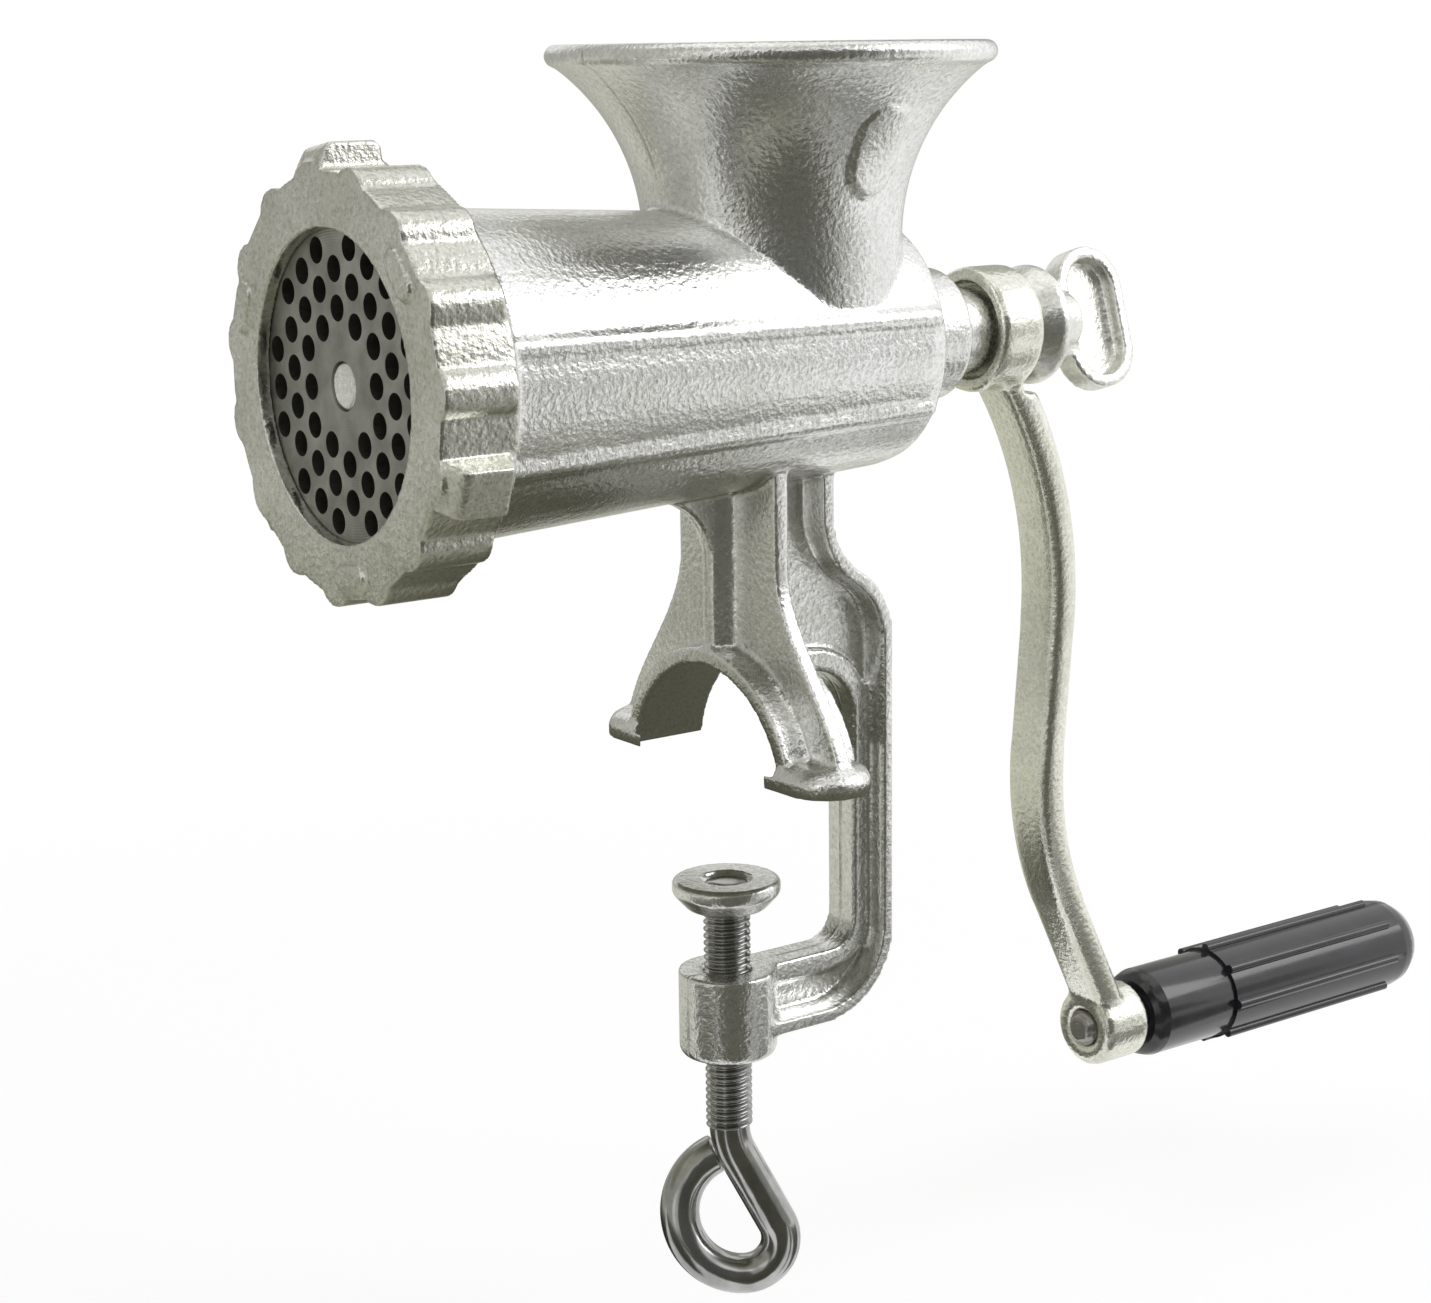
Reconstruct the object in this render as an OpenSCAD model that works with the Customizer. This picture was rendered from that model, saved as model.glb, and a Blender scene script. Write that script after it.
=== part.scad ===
// Hand-cranked meat grinder with a table clamp, real size in millimetres.
// The origin is on the clamp screw axis at the table top, +Z is up, the outlet faces -X.

/* [Grinding head] */
// Outer diameter of the hole plate
plate_d = 62; // [60:1:64]
// Thickness of the hole plate
plate_t = 6; // [5:0.5:7]
// Bore in the middle of the hole plate
plate_bore_d = 9; // [8:0.5:10]
// Diameter of one hole in the plate
hole_d = 4.8; // [3:0.1:5.4]
// Distance between neighbouring plate holes
hole_pitch = 6.9; // [6.7:0.1:7]
// Turn of the hole pattern about the axis
hole_turn = -5; // [-30:1:30]
// Diameter of the opening in the ring nut
opening_d = 55.8; // [52:0.2:57]
// Thickness of the ring nut lip in front of the plate
lip_t = 2.7; // [2:0.1:4]
// Length of the ring nut
ring_len = 15.7; // [14.5:0.1:17]
// Number of grip lobes around the ring nut
ring_lobes = 15; // [12:3:18]
// Turn of the ring nut at rest
ring_turn = 9; // [-60:1:60]
// Thickness of the knife
knife_t = 7; // [6:0.5:7.5]
// Across flats of the knife drive square
square_w = 11; // [10:0.5:12]

/* [Casting] */
// Height of the grinding axis above the table
axis_z = 82; // [80:1:86]
// Distance from the clamp screw axis to the front of the plate
outlet = 82.4; // [81:0.2:86]
// Barrel radius just behind the ring nut
barrel_r1 = 30.5; // [29.8:0.1:31]
// Barrel radius at the rear end
barrel_r2 = 25; // [24.6:0.1:26]
// Distance from the clamp screw axis to the rear end of the barrel
barrel_end = 39.2; // [38.8:0.2:40]
// Wall thickness of the barrel
barrel_wall = 3.2; // [2.8:0.1:3.6]
// Wall thickness around the plate seat
nose_wall = 3.4; // [3:0.1:4]
// Distance from the clamp screw axis to the hopper axis
hopper_x = 13.1; // [12:0.1:14]
// Outer radius of the hopper throat
throat_r = 25.3; // [24.5:0.1:25.8]
// Outer radius of the hopper rim
rim_r = 43.6; // [43:0.1:45]
// Height of the hopper rim above the grinding axis
rim_h = 56.5; // [56:0.1:57]
// Radius of the trumpet curve of the hopper
flare_r = 41; // [40.5:0.1:41.5]
// Wall thickness of the hopper
hopper_wall = 3; // [2.6:0.1:3.4]
// Radius of the rounded bead on the hopper rim
bead_r = 2.2; // [1.8:0.1:2.4]
// Radius of the rear neck
neck_r = 13.5; // [13:0.1:15]
// Length of the rear neck
neck_len = 14.8; // [14:0.1:15.4]

/* [Stand] */
// Half width of the stand waist
waist_w = 15.9; // [14.5:0.1:17]
// Radius of the arch between the feet
arch_r = 24.5; // [24:0.1:25]
// Thickness of the arch hoop
hoop_t = 3.4; // [3:0.1:4]
// Depth of the arch hoop along the axis
hoop_len = 17; // [15:0.5:18]
// Thickness of the stand panel
panel_t = 3.4; // [3:0.1:4]
// Thickness of the rear web
web_t = 5; // [4:0.5:6]
// Half width of the rear flange
flange_w = 9; // [8:0.5:9.5]
// Thickness of the rear flange
flange_t = 2.8; // [2.4:0.1:3.2]
// Distance from the clamp screw axis to the back of the table gap
gap_depth = 29.6; // [28:0.2:30]

/* [Clamp] */
// Diameter of the clamp screw
screw_d = 9.6; // [9:0.1:10]
// Radius of the boss around the clamp screw
boss_r = 10; // [9.5:0.1:11]
// Height of the boss bottom below the table top
boss_low = 61; // [60:0.5:64]
// Length of the boss along the screw
boss_len = 18; // [17:0.5:18]
// Thickness of the table that is clamped at rest
table_t = 24; // [20:0.5:30]
// Radius of the clamp pad
pad_r = 11; // [10:0.5:12]
// Thickness of the clamp pad
pad_t = 6; // [5:0.5:7]
// Thread left below the boss at rest
thread_left = 15.5; // [14:0.5:17]
// Turn of the screw eye at rest
eye_turn = -36; // [-90:1:90]

/* [Crank] */
// Distance from the grinding axis to the grip axis
crank_r = 160.4; // [159:0.2:162]
// Radius of the crank hub
hub_r = 13; // [12.6:0.1:14]
// Length of the crank hub
hub_len = 11.8; // [11:0.1:12]
// Distance from the barrel end to the crank hub
hub_gap = 23.3; // [22.8:0.1:25]
// Radius of the worm shaft in its bearing
shaft_r = 9; // [8.6:0.1:9.2]
// Radius of the flatted shaft end
end_r = 7.6; // [7:0.1:8]
// Distance of the drive flat from the axis
flat_h = 5.6; // [5:0.1:6]
// Width of the crank arm
arm_w = 13; // [11:0.5:14]
// Thickness of the crank arm
arm_t = 7; // [6:0.5:8]
// Radius of the boss at the grip
grip_boss_r = 8.8; // [8.4:0.1:9.6]
// Radius of the grip collar
collar_r = 10.2; // [9.6:0.1:10.6]
// Radius of the grip sleeve between its ridges
sleeve_r = 10.8; // [10.7:0.1:11.4]
// Length of the whole grip
grip_len = 90.5; // [86:0.5:98]
// Length of the visible collar
collar_len = 24; // [20:1:28]
// Radius of the grip pin
pin_r = 4; // [3.5:0.1:4.5]
// Radius of the wing ends of the thumb screw
wing_r = 9; // [8.6:0.1:9.4]
// Distance from the axis to the centre of each wing end
wing_y = 6.2; // [6:0.1:6.6]
// Width of the raised edge around the thumb screw wing
wing_wall = 2.6; // [2.2:0.1:2.8]
// Thickness of the thumb screw wing
wing_t = 5.8; // [5.4:0.1:6.2]
// Depth of the dish in the thumb screw wing
dish = 3.6; // [3.2:0.1:3.8]
// Length of the thumb screw stem
stem_len = 16.4; // [16:0.1:17]

/* [Clearances] */
// Radial gap between a turning shaft and its hole
run_gap = 0.08; // [0.06:0.01:0.1]
// Radial gap between the worm and the barrel
worm_gap = 0.6; // [0.4:0.1:0.8]
// Radial gap between the knife blades and the barrel bore
knife_gap = 1.3; // [1:0.1:2]
// Gap between loose or threaded faces
free_gap = 0.3; // [0.3:0.05:0.4]

/* [Hidden] */
$fn = 96;
x_front = -outlet;
x_back = x_front + plate_t;
x_nose = x_front + 1;
x_nose_end = x_front - lip_t + ring_len + 1.5;
x_worm = x_back + knife_t + free_gap;
x_neck = barrel_end + neck_len;
x_hub = barrel_end + hub_gap;
x_hub_end = x_hub + hub_len;
bore_r1 = barrel_r1 - barrel_wall;
bore_r2 = barrel_r2 - barrel_wall;
nose_r = plate_d / 2 + free_gap + nose_wall;
ring_base_r = nose_r + free_gap + 2.8;
ring_peak_r = ring_base_r + 1.9;
lug_r = ring_peak_r + 2.8;
panel_x = 1;
foot_w = 36;
foot_x = 2.5;
foot_y = 29.5;
foot_r = 8.7;
hoop_x = panel_x - 5.9;
arch_z = -4;
flange_x = gap_depth + 5.5;
flange_x_top = 19.8;
s_drop = 27;
flare_z = rim_h - flare_r * 0.851;
s_half = atan((flange_x - flange_x_top) / s_drop);
s_r = s_drop / 2 / sin(2 * s_half);
s_top_z = axis_z - 33;
arm_low = axis_z - 138.6;
corner_r = 18;
boss_top = boss_len - boss_low;
pad_top = -table_t;
pad_low = pad_top - pad_t;
screw_r = screw_d / 2;
tip_r = 3;
thread_end = -boss_low - thread_left;
grip_z = axis_z - crank_r;
arm_r1 = crank_r * 0.53;
arm_r2 = crank_r * 0.43;
arm_run = crank_r * 0.1683;
arm_x = x_hub + crank_r * 0.1552;
arm_z = axis_z - crank_r * 0.3616;
boss_x1 = x_hub + crank_r * 0.2313;
boss_x2 = boss_x1 + grip_boss_r * 1.5;
grip_x = boss_x2 + 1.8;
sleeve_x = grip_x + collar_len;
grip_end = grip_x + grip_len;
core_end = grip_end - 10;
neck_bore_r = shaft_r + run_gap + 2.4;
thumb_r = 4;
thumb_head_r = hub_r - 0.5;
wing_x = x_hub_end + stem_len + wing_r - 1.8;
knife_r = bore_r1 - knife_gap;
knife_hub_r = square_w * 0.71 + 2.7;
stud_in = 22;
core_r1 = shaft_r + 3.5;
core_r2 = shaft_r + 1.5;
flight_r = shaft_r + 0.3;
spigot_r = sleeve_r - 2.4;
worm_r1 = bore_r1 - worm_gap;
worm_r2 = bore_r2 - worm_gap;
washer_t = 1.6;
hub_seat = 3;
x_wall = barrel_end - 4;
x_shoulder = x_wall - washer_t - free_gap;
worm_len = x_shoulder - x_worm;
eye_r = 8;
eye_loop_r = 13;
lean = 27.9;
tuck = 16.5;

// Turns a shape drawn along +Z so that it runs along +X on the grinding axis
module on_axis(x) {
    translate([x, 0, axis_z]) rotate([0, 90, 0]) children();
}

// Turns a 2D drawing with x along X and y along Z into a slab centred on y = 0
module slab(w) {
    translate([0, w / 2, 0]) rotate([90, 0, 0]) linear_extrude(w) children();
}

// Turns a 2D drawing with x along Y and y along Z into a plate from x to x + t
module wall_plate(x, t) {
    translate([x, 0, 0]) rotate([90, 0, 90]) linear_extrude(t) children();
}

// 2D band that follows part of a circle from angle a to angle b
module arc_band(c, r, t, a, b) {
    intersection() {
        translate(c) difference() {
            circle(r = r + t / 2);
            circle(r = r - t / 2);
        }
        translate(c) polygon([[0, 0], [2 * r * cos(a), 2 * r * sin(a)],
            [3 * r * cos((a + b) / 2), 3 * r * sin((a + b) / 2)], [2 * r * cos(b), 2 * r * sin(b)]]);
    }
}

// Outside of the barrel, the nose and the rear neck
module barrel_outside() {
    on_axis(0) rotate_extrude() polygon([[0, x_nose], [nose_r - 0.8, x_nose], [nose_r, x_nose + 0.8],
        [nose_r, x_nose_end], [barrel_r1 + 0.2, x_nose_end + 2.6], [barrel_r1, x_nose_end + 3.6],
        [barrel_r2 + 0.3, barrel_end - 6], [barrel_r2 - 0.4, barrel_end - 2.6],
        [barrel_r2 - 2.6, barrel_end - 0.6], [barrel_r2 - 6, barrel_end], [neck_r + 0.8, barrel_end + 0.8],
        [neck_r, barrel_end + 1.8], [neck_r, x_neck - 0.8], [neck_r - 0.8, x_neck], [0, x_neck]]);
}

// Long cast ribs on both sides of the barrel
module barrel_ribs() {
    rib_l = barrel_end - 5 - x_nose_end;
    slope = atan((barrel_r1 - barrel_r2) / (barrel_end - x_nose_end));
    for (side = [0, 1], a = [-14.5, 28]) mirror([0, side, 0]) {
        translate([0, 0, axis_z]) rotate([a, 0, 0]) translate([x_nose_end, -barrel_r1 + 1.1, 0])
            rotate([0, 0, slope]) rotate([0, 90, 0]) {
                cylinder(r = 2.3, h = rib_l);
                translate([0, 0, rib_l]) sphere(r = 2.3);
            }
    }
}

// Half profile of the hopper wall face at throat radius tr with trumpet radius fr, from height lo to hi
module trumpet(tr, fr, rmax, lo, hi) {
    difference() {
        translate([0, lo]) square([rmax, hi - lo]);
        translate([tr + fr, flare_z]) circle(r = fr);
        translate([tr, lo - 1]) square([rmax, flare_z - lo + 1]);
    }
}

// Outside of the hopper as a trumpet with a rounded rim
module hopper_outside() {
    translate([hopper_x, 0, axis_z]) rotate_extrude() {
        trumpet(throat_r, flare_r, rim_r - bead_r, 3, rim_h + bead_r);
        translate([rim_r - bead_r, rim_h]) circle(r = bead_r);
    }
}

// Inside of the hopper, open at the top and into the barrel
module hopper_inside() {
    translate([hopper_x, 0, axis_z]) rotate_extrude()
        trumpet(throat_r - hopper_wall, flare_r + hopper_wall, rim_r - 3.4, 0, rim_h + 5);
}

// Plain raised pad where a casting carries its size mark
module mark_pad() {
    translate([hopper_x + 2.8, -29, axis_z + 39]) rotate([114, 0, 0]) translate([0, 0, -6]) {
        translate([0, 3.5, 0]) cylinder(r = 5.5, h = 12);
        translate([0, -3.5, 0]) cylinder(r = 5.5, h = 12);
        translate([-5.5, -3.5, 0]) cube([11, 7, 12]);
    }
}

// Half width of the stand at height z
function leg_w(z) = let (t = max(0, min(1, (41 - z) / 41))) waist_w + (foot_w - waist_w) * t * t * (3 - 2 * t);

// Heights at which the leg outline is drawn, from the waist down
leg_z = [for (i = [0 : 24]) 41 - i * 41 / 24];

// Outline of the stand panel seen from the front
module panel_outline() {
    right = concat([[waist_w, axis_z - 12]], [for (z = leg_z) [leg_w(z), z]]);
    left = [for (i = [len(right) - 1 : -1 : 0]) [-right[i][0], right[i][1]]];
    difference() {
        polygon(concat(right, left));
        translate([0, arch_z]) circle(r = arch_r);
    }
}

// Section of the upright rib on the front of the stand, with sloped roots
module front_rib() {
    x = hoop_x + 1;
    polygon([[x, 1.5], [x + 0.7, 2.1], [panel_x - 1.5, 2.5], [panel_x - 0.5, 3.1], [panel_x + 0.5, 4.6],
        [panel_x + 0.5, -4.6], [panel_x - 0.5, -3.1], [panel_x - 1.5, -2.5], [x + 0.7, -2.1], [x, -1.5]]);
}

// Half section of a foot, from the middle line out to the rounded edge
module foot_section() {
    polygon([[0, 0], [foot_r, 0], [foot_r, 2.6], [foot_r - 0.9, 4.2], [foot_r - 2.6, 5.2], [0, 5.2]]);
}

// One foot with a rounded toe
module foot(s) {
    translate([foot_x, s * foot_y, 0]) {
        rotate_extrude() foot_section();
        for (side = [0, 1]) mirror([side, 0, 0]) rotate([90, 0, 0]) translate([0, 0, s > 0 ? 0 : -9])
            linear_extrude(9) foot_section();
    }
}

// Line of the rear flange, drawn as a band of thickness t, moved by d across the line
module flange_line(t, d) {
    translate([flange_x_top + d - t / 2, s_top_z - 0.05]) square([t, axis_z - 20 - s_top_z]);
    arc_band([flange_x_top + s_r, s_top_z], s_r - d, t, 180, 180 + 2 * s_half);
    arc_band([flange_x - s_r, s_top_z - s_drop], s_r + d, t, 0, 2 * s_half);
    translate([flange_x + d - t / 2, arm_low + corner_r]) square([t, s_top_z - s_drop - arm_low - corner_r + 0.05]);
    arc_band([flange_x + flange_t / 2 - corner_r, arm_low + corner_r], corner_r - flange_t / 2 + d, t, -90, 0);
    translate([0, arm_low + flange_t / 2 - d - t / 2])
        square([flange_x + flange_t / 2 - corner_r + 0.05, t]);
}

// Web plate of the clamp frame, drawn in the XZ plane
module web_outline() {
    difference() {
        union() {
            translate([panel_x + 1, 14]) square([flange_x_top - panel_x - 1, axis_z - 34]);
            intersection() {
                translate([flange_x_top - 1, arm_low + 10]) square([flange_x - flange_x_top + 1, s_top_z - arm_low - 10]);
                union() {
                    translate([flange_x - s_r, s_top_z - s_drop]) circle(r = s_r);
                    translate([flange_x_top - 1, arm_low]) square([flange_x - flange_x_top + 1, s_top_z - s_drop - arm_low]);
                    difference() {
                        translate([flange_x_top - 1, s_top_z - s_drop / 2])
                            square([(flange_x - flange_x_top) / 2 + 1, s_drop / 2]);
                        translate([flange_x_top + s_r, s_top_z]) circle(r = s_r);
                    }
                }
            }
            translate([0, arm_low + 1]) square([flange_x + flange_t / 2 - corner_r, 11]);
            translate([flange_x + flange_t / 2 - corner_r, arm_low + corner_r]) circle(r = corner_r - 1);
        }
        gap_outline(0);
    }
}

// Table gap of the clamp frame, grown by g
module gap_outline(g) {
    top = axis_z - 65.5;
    low = boss_top;
    translate([-60, low - g]) square([60 + gap_depth - 10.5, top - low + 2 * g]);
    translate([gap_depth - 12, low + 6]) square([12 + g, top - low - 16.5]);
    translate([gap_depth - 10.5, top - 10.5]) circle(r = 10.5 + g);
    translate([gap_depth - 6, low + 6]) circle(r = 6 + g);
    translate([gap_depth - 12, low - g]) square([6, 12]);
}

module body_casting() {
    color([0.78, 0.79, 0.77]) difference() {
        union() {
            barrel_outside();
            barrel_ribs();
            hopper_outside();
            intersection() {
                hopper_pad_zone();
                mark_pad();
            }
            wall_plate(panel_x, panel_t) panel_outline();
            wall_plate(hoop_x, hoop_len) intersection() {
                translate([0, arch_z]) circle(r = arch_r + hoop_t);
                translate([-50, 0]) square([100, 60]);
            }
            for (s = [1, -1]) foot(s);
            translate([0, 0, arch_z + arch_r + 1]) linear_extrude(axis_z - 21 - arch_z - arch_r) front_rib();
            slab(4) difference() {
                translate([hoop_x - 12, axis_z - 38]) square([14, 14]);
                translate([hoop_x - 12 + 1, axis_z - 40]) circle(r = 12);
            }
            slab(web_t) web_outline();
            slab(web_t + 4) difference() {
                intersection() {
                    gap_outline(4.5);
                    web_outline();
                }
                translate([-100, arm_low - 50]) square([100 + 8, 200]);
            }
            slab(2 * flange_w) difference() {
                flange_line(flange_t, 0);
                translate([-50, -100]) square([50 + 2, 200]);
            }
            translate([0, 0, -boss_low]) rotate_extrude() polygon([[0, 0], [boss_r - 1.6, 0], [boss_r - 0.5, 0.5],
                [boss_r, 1.6], [boss_r, boss_len], [0, boss_len]]);
        }
        on_axis(0) rotate_extrude() polygon([[0, x_nose - 5], [plate_d / 2 + free_gap, x_nose - 5],
            [plate_d / 2 + free_gap, x_back], [bore_r1, x_back], [bore_r1, x_worm], [bore_r2, x_wall], [0, x_wall]]);
        on_axis(x_wall - 1) cylinder(r = neck_bore_r, h = neck_len + 10);
        hopper_inside();
        translate([0, 0, -boss_low - 1]) cylinder(r = screw_r + run_gap, h = boss_len + 30);
        wall_plate(hoop_x - 1, hoop_len + 2) intersection() {
            translate([0, arch_z]) circle(r = arch_r);
            translate([-50, -10]) square([100, 60]);
        }
        translate([-60, -60, -40]) cube([60 + 14, 120, 40]);
        translate([x_nose + 3.4, 0, axis_z - plate_d / 2 - free_gap - 2]) cylinder(r = 1.5, h = 6);
    }
}

module hopper_pad_zone() {
    translate([hopper_x, 0, axis_z]) difference() {
        translate([0, 0, 24]) cylinder(r = 60, h = 26);
        translate([0, 0, flare_z]) rotate_extrude() translate([throat_r + flare_r + 1, 0])
            circle(r = flare_r);
    }
}

module plate_key_pin() {
    color([0.6, 0.61, 0.62]) translate([x_nose + 3.4, 0, axis_z - plate_d / 2 - free_gap - 2])
        cylinder(r = 1.5, h = 4);
}

module rear_bush() {
    color([0.88, 0.87, 0.83]) on_axis(x_wall) difference() {
        cylinder(r = neck_bore_r, h = x_neck - x_wall - 0.5);
        translate([0, 0, -1]) cylinder(r = shaft_r + run_gap, h = neck_len + 20);
    }
}

module thrust_washer() {
    color([0.45, 0.3, 0.2]) on_axis(x_wall - washer_t) difference() {
        cylinder(r = shaft_r + 5, h = washer_t);
        translate([0, 0, -1]) cylinder(r = shaft_r + free_gap, h = washer_t + 2);
    }
}

module auger() {
    turns = 2.6;
    color([0.72, 0.73, 0.72]) difference() {
        union() {
            on_axis(x_worm) {
                cylinder(r1 = core_r1, r2 = core_r2, h = worm_len - 8);
                translate([0, 0, worm_len - 9]) cylinder(r = shaft_r + 4.6, h = 9);
                translate([0, 0, 0.6]) rotate([0, 0, 40]) linear_extrude(height = worm_len - 5.5, twist = 360 * turns,
                    slices = 64, scale = worm_r2 / worm_r1, $fn = 18)
                    polygon(concat([for (i = [0 : 6]) [worm_r1 * cos(i * 9.5), worm_r1 * sin(i * 9.5)]],
                        [for (i = [6 : -1 : 0]) [flight_r * cos(i * 9.5), flight_r * sin(i * 9.5)]]));
            }
            on_axis(x_shoulder - 1) cylinder(r = shaft_r, h = x_hub + hub_seat - x_shoulder + 1);
            intersection() {
                on_axis(x_hub - 1) cylinder(r = end_r, h = hub_len + 0.2);
                translate([x_hub - 5, -20, axis_z - flat_h]) cube([hub_len + 20, 40, 40]);
            }
            translate([x_back + 0.4, -square_w / 2, axis_z - square_w / 2])
                cube([x_worm - x_back + 1, square_w, square_w]);
        }
        on_axis(x_back - 1) cylinder(r = plate_bore_d / 2 - 1, h = stud_in + 2);
        on_axis(x_hub_end - 20) cylinder(r = thumb_r + free_gap, h = 40);
    }
}

module knife_stud() {
    color([0.75, 0.76, 0.76]) on_axis(x_front + 0.2) {
        cylinder(r1 = plate_bore_d / 2 - run_gap - 0.6, r2 = plate_bore_d / 2 - run_gap, h = 0.6);
        translate([0, 0, 0.6]) cylinder(r = plate_bore_d / 2 - run_gap, h = plate_t - 0.4);
        translate([0, 0, plate_t - 0.2]) cylinder(r = plate_bore_d / 2 - 1, h = stud_in);
    }
}

module knife() {
    color([0.55, 0.56, 0.57]) difference() {
        on_axis(x_back) intersection() {
            union() {
                cylinder(r = knife_hub_r, h = knife_t);
                for (a = [0 : 90 : 270]) rotate([0, 0, a + 20]) {
                    translate([0, -4.2, 0]) cube([knife_r, 4.2, 3]);
                    translate([0, -4.2, 0]) cube([knife_r, 2.4, knife_t]);
                }
            }
            cylinder(r = knife_r, h = knife_t);
        }
        translate([x_back - 1, -square_w / 2 - 0.1, axis_z - square_w / 2 - 0.1])
            cube([knife_t + 2, square_w + 0.2, square_w + 0.2]);
    }
}

module grinder_plate() {
    color([0.42, 0.43, 0.43]) difference() {
        on_axis(x_front) cylinder(r = plate_d / 2, h = plate_t);
        on_axis(x_front - 1) cylinder(r = plate_bore_d / 2, h = plate_t + 2);
        for (c = [-4 : 4], k = [-8 : 8])
            if ((c + k) % 2 == 0 && 3 * c * c + k * k > 4 && 3 * c * c + k * k < 60)
                translate([x_front - 1, 0, axis_z]) rotate([hole_turn, 0, 0])
                    translate([0, c * hole_pitch * sqrt(3) / 2, k * hole_pitch / 2]) rotate([0, 90, 0])
                    cylinder(r = hole_d / 2, h = plate_t + 2, $fn = 32);
        translate([x_front - 1, -2, axis_z - plate_d / 2 - 1]) cube([plate_t + 2, 4, 3.6]);
    }
}

module ring_nut() {
    step = 360 / ring_lobes;
    color([0.76, 0.76, 0.73]) difference() {
        union() {
            on_axis(x_front - lip_t) {
                cylinder(r = ring_base_r, h = ring_len);
                for (i = [0 : ring_lobes - 1]) rotate([0, 0, i * step + 180 - ring_turn])
                    translate([ring_peak_r - 5.2, 0, 0])
                    cylinder(r = 5.2, h = ring_len - 0.8, $fn = 48);
                for (i = [0 : 2]) rotate([0, 0, i * 120 + 180 - ring_turn]) translate([0, 4.6, 0]) rotate([90, 0, 0])
                    linear_extrude(9.2) polygon([[32, 0], [ring_base_r, 0], [lug_r - 0.8, 2.2], [lug_r, 3.2],
                        [lug_r, ring_len - 3.6], [lug_r - 1, ring_len - 2.6], [32, ring_len - 1]]);
                for (i = [0 : 2]) rotate([0, 0, i * 120 + 240 - ring_turn]) translate([33.8, 0, -1.1]) {
                    translate([0, 2.6, 0]) cylinder(r = 2.3, h = 3);
                    translate([0, -2.6, 0]) cylinder(r = 2.3, h = 3);
                    translate([-2.3, -2.6, 0]) cube([4.6, 5.2, 3]);
                }
            }
        }
        on_axis(x_front - lip_t - 3) cylinder(r = opening_d / 2, h = 20);
        on_axis(x_front) cylinder(r = nose_r + free_gap, h = ring_len + 5);
    }
}

// Cross section of the crank arm, smaller by e all round
module arm_section(e) {
    r = 2.6;
    w = arm_w - 2 * e;
    t = arm_t - 2 * e;
    square([t - 2 * r, w], center = true);
    square([t, w - 2 * r], center = true);
    for (i = [1, -1], j = [1, -1]) translate([i * (t / 2 - r), j * (w / 2 - r)]) circle(r = r);
}

module crank_arm() {
    turn1 = 38;
    back = 5;
    out = 26;
    x1 = arm_x - arm_r1;
    qx = x1 + arm_r1 * cos(back) - arm_run * sin(back);
    qz = arm_z - arm_r1 * sin(back) - arm_run * cos(back);
    cx = qx + arm_r2 * cos(back);
    cz = qz - arm_r2 * sin(back);
    ex = cx - arm_r2 * cos(out);
    ez = cz - arm_r2 * sin(out);
    color([0.77, 0.77, 0.73]) difference() {
        union() {
            on_axis(x_hub) rotate_extrude() polygon([[0, 0], [hub_r - 1.2, 0], [hub_r - 0.35, 0.35], [hub_r, 1.2],
                [hub_r, hub_len - 1.2], [hub_r - 0.35, hub_len - 0.35], [hub_r - 1.2, hub_len], [0, hub_len]]);
            translate([x1, 0, arm_z]) rotate([90, 0, 0]) rotate([0, 0, -back])
                rotate_extrude(angle = turn1 + back) translate([arm_r1, 0]) arm_section(0);
            translate([qx, 0, qz]) rotate([0, back, 0]) translate([0, 0, -2])
                linear_extrude(arm_run + 4) arm_section(0.08);
            translate([cx, 0, cz]) rotate([90, 0, 0]) rotate([0, 0, 180 - back])
                rotate_extrude(angle = out + back) translate([arm_r2, 0]) arm_section(0);
            translate([ex, 0, ez]) rotate([0, 180 - out, 0]) translate([0, 0, -2])
                linear_extrude(crank_r * 0.2) arm_section(0.08);
            translate([boss_x1, 0, grip_z]) rotate([0, 90, 0]) rotate_extrude() polygon([[0, 0],
                [grip_boss_r - 1, 0], [grip_boss_r, 1], [grip_boss_r, boss_x2 - boss_x1 - 1],
                [grip_boss_r - 1, boss_x2 - boss_x1], [0, boss_x2 - boss_x1]]);
        }
        intersection() {
            on_axis(x_hub - 1) cylinder(r = end_r + 0.7, h = hub_len + 2);
            translate([x_hub - 5, -20, axis_z - flat_h - 0.6]) cube([hub_len + 20, 40, 40]);
        }
        on_axis(x_hub - 1) cylinder(r = shaft_r + 1, h = hub_seat + 1);
        translate([boss_x1 - 5, 0, grip_z]) rotate([0, 90, 0]) cylinder(r = pin_r, h = 40);
        translate([x_hub_end, -20, axis_z - hub_r - 0.5]) cube([40, 40, 40]);
    }
}

// Outline of the thumb screw wing, smaller by e all round
module wing_outline(e) {
    for (i = [1, -1]) translate([wing_x, i * wing_y]) circle(r = wing_r - e);
    translate([wing_x - wing_r + e, -wing_y]) square([2 * (wing_r - e), 2 * wing_y]);
}

module thumb_screw() {
    r = thumb_head_r;
    color([0.78, 0.78, 0.75]) {
        on_axis(x_hub_end) rotate_extrude() polygon([[0, 0], [r - 3.4, 0], [r - 3, 0.8], [r - 0.5, 4.4], [r, 5.2],
            [r, 6.8], [r - 0.6, 7.6], [r - 3.4, 8.4], [r - 5, 10], [r - 6.1, stem_len], [0, stem_len]]);
        on_axis(x_hub_end - 14) cylinder(r = thumb_r, h = 16);
        translate([0, 0, axis_z]) rotate([-17, 0, 0]) difference() {
            slab(wing_t) {
                wing_outline(0);
                translate([wing_x - wing_r - 3, -8]) square([6, 16]);
            }
            translate([0, -wing_t / 2 + dish - 5, 0]) slab(10) wing_outline(wing_wall);
        }
    }
}

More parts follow.
